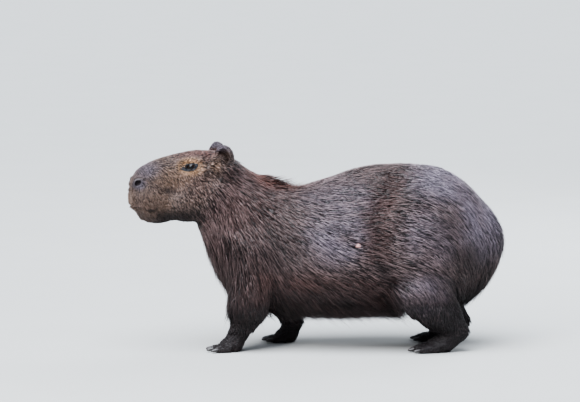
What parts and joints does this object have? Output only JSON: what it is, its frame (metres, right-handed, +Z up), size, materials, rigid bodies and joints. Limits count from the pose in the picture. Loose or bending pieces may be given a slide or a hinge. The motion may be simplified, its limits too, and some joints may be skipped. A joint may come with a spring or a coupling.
{
  "type": "capybara",
  "caption": "Life-size still model of an adult capybara standing in left profile, head level and turned slightly to its left, coarse coat combed back; rests on its feet.",
  "frame": {"origin": "on the floor, under the middle of the animal's bounding box", "axes": "+X from nose to rump, so the animal faces -X; +Y to its right side; +Z up"},
  "size_m": [1.1504, 0.3978, 0.6289],
  "materials": {
    "coat": "coarse streaky hair, dark brown with a reddish tint, slightly glossy",
    "face": "short hair, golden brown at the cheek and eye, grey at the nose",
    "legs": "short dark grey-brown hair",
    "feet": "bare leathery soles and short dark hair",
    "ears": "thin grey-brown skin with sparse hair",
    "claws": "dull dark horn",
    "eyes": "wet gloss"
  },
  "bodies": {
    "root": {"claw_front_left_1": "claws", "claw_front_left_2": "claws", "claw_front_left_3": "claws", "claw_front_left_4": "claws", "claw_front_right_1": "claws", "claw_front_right_2": "claws", "claw_front_right_3": "claws", "claw_front_right_4": "claws", "claw_hind_left_1": "claws", "claw_hind_left_2": "claws", "claw_hind_left_3": "claws", "claw_hind_right_1": "claws", "claw_hind_right_2": "claws", "claw_hind_right_3": "claws", "ear_left": "ears", "ear_right": "ears", "eye_left": "eyes", "eye_right": "eyes", "foot_front_left": "feet", "foot_front_right": "feet", "foot_hind_left": "feet", "foot_hind_right": "feet", "head": "face", "leg_front_left": "legs", "leg_front_right": "legs", "leg_hind_left": "legs", "leg_hind_right": "legs", "neck": "coat", "torso": "coat"}
  },
  "joints": []
}
